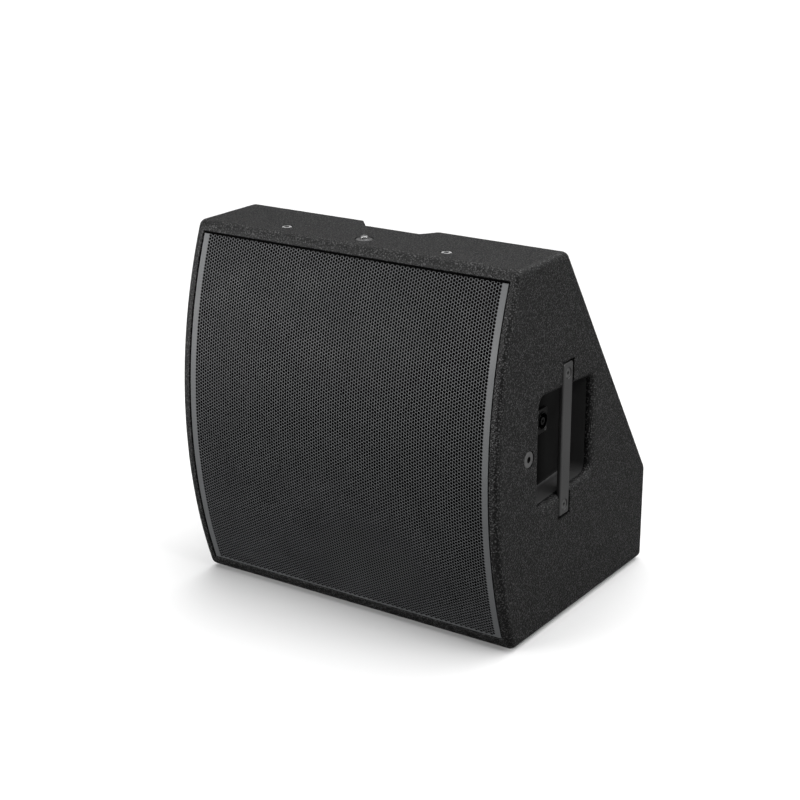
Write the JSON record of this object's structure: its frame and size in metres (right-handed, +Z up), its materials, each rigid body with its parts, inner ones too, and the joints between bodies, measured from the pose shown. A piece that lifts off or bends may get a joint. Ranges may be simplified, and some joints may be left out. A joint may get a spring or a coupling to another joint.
{
  "type": "stage monitor wedge",
  "caption": "Black wedge-shaped stage monitor: coated plywood box, curved perforated steel front, coaxial driver, recessed side handles with bars.",
  "frame": {"origin": "under the middle of the box, on the floor that its bottom feet stand on", "axes": "+Z up, the curved grille faces -Y, +X is to the right of someone looking at the front"},
  "size_m": [0.449, 0.3728, 0.4595],
  "materials": {
    "cabinet_coat": "pebbled black structure coating on plywood",
    "raw_plywood": "uncoated birch plywood, inside",
    "grille_steel": "perforated steel, black-grey powder coat, semi-matt",
    "grille_foam": "open-cell black acoustic foam",
    "pocket_plastic": "smooth satin black moulding",
    "handle_steel": "dark grey powder coat, semi-matt",
    "black_fastener": "black oxide",
    "insert_steel": "black zinc, satin",
    "connector_plastic": "black glass-filled nylon",
    "foot_rubber": "matt",
    "port_plastic": "matt black moulding",
    "basket_metal": "black paint on a casting",
    "gasket_foam": "closed-cell foam",
    "cone_paper": "coated pulp",
    "surround_cloth": "doped cloth",
    "spider_cloth": "resin-dipped cotton",
    "coil_former": "glass-fibre former with a wound coil",
    "magnet_ferrite": "bare ceramic ferrite",
    "plated_steel": "zinc plated",
    "hf_metal": "black anodised",
    "diaphragm_metal": "bare foil",
    "circuit_board": "solder mask",
    "copper_winding": "enamelled copper wire",
    "capacitor_film": "film wrap",
    "damping_wool": "felted wool",
    "cable_jacket": "matt"
  },
  "bodies": {
    "cabinet": {"side_panel_left": "cabinet_coat", "side_panel_right": "cabinet_coat", "top_panel": "cabinet_coat", "bottom_panel": "cabinet_coat", "slanted_back_panel": "cabinet_coat", "lower_back_panel": "cabinet_coat", "grip_recess_plate": "cabinet_coat", "front_baffle": "raw_plywood", "back_brace": "raw_plywood", "grille": "grille_steel", "grille_foam": "grille_foam", "handle_pocket_left": "pocket_plastic", "handle_pocket_right": "pocket_plastic", "pole_socket": "pocket_plastic", "handle_bar_left": "handle_steel", "handle_bar_right": "handle_steel", "handle_screw_left_lower": "black_fastener", "handle_screw_left_upper": "black_fastener", "handle_screw_right_lower": "black_fastener", "handle_screw_right_upper": "black_fastener", "side_fly_point_left": "insert_steel", "side_fly_point_right": "insert_steel", "top_insert_left": "insert_steel", "top_insert_right": "insert_steel", "top_centre_fitting": "insert_steel", "speaker_connector_left": "connector_plastic", "speaker_connector_right": "connector_plastic", "foot_bottom_1": "foot_rubber", "foot_bottom_2": "foot_rubber", "foot_bottom_3": "foot_rubber", "foot_bottom_4": "foot_rubber", "foot_back_1": "foot_rubber", "foot_back_2": "foot_rubber", "foot_back_3": "foot_rubber", "foot_back_4": "foot_rubber", "port_tube_left": "port_plastic", "port_tube_right": "port_plastic", "driver_basket": "basket_metal", "driver_gasket": "gasket_foam", "woofer_surround": "surround_cloth", "woofer_spider": "spider_cloth", "magnet_ring": "magnet_ferrite", "front_plate": "plated_steel", "back_plate": "plated_steel", "hf_horn": "hf_metal", "hf_driver_body": "hf_metal", "hf_rear_cover": "hf_metal", "crossover_board": "circuit_board", "woofer_inductor": "copper_winding", "hf_inductor": "copper_winding", "filter_capacitor": "capacitor_film", "input_cable_left": "cable_jacket", "input_cable_right": "cable_jacket", "driver_cable": "cable_jacket", "damping_pad_left": "damping_wool", "damping_pad_right": "damping_wool", "damping_pad_back": "damping_wool"},
    "cone_assembly": {"woofer_cone": "cone_paper", "voice_coil_former": "coil_former"},
    "hf_dome": {"hf_diaphragm": "diaphragm_metal"}
  },
  "joints": [
    {"name": "woofer_travel", "type": "slide", "parent": "cabinet", "child": "cone_assembly", "axis": [0, 1, 0], "range_m": [-0.006, 0.006], "stiffness_N_per_m": 2500, "deforming": ["woofer_surround", "woofer_spider"]},
    {"name": "hf_travel", "type": "slide", "parent": "cabinet", "child": "hf_dome", "axis": [0, 1, 0], "range_m": [-0.0004, 0.0004], "stiffness_N_per_m": 2500}
  ]
}
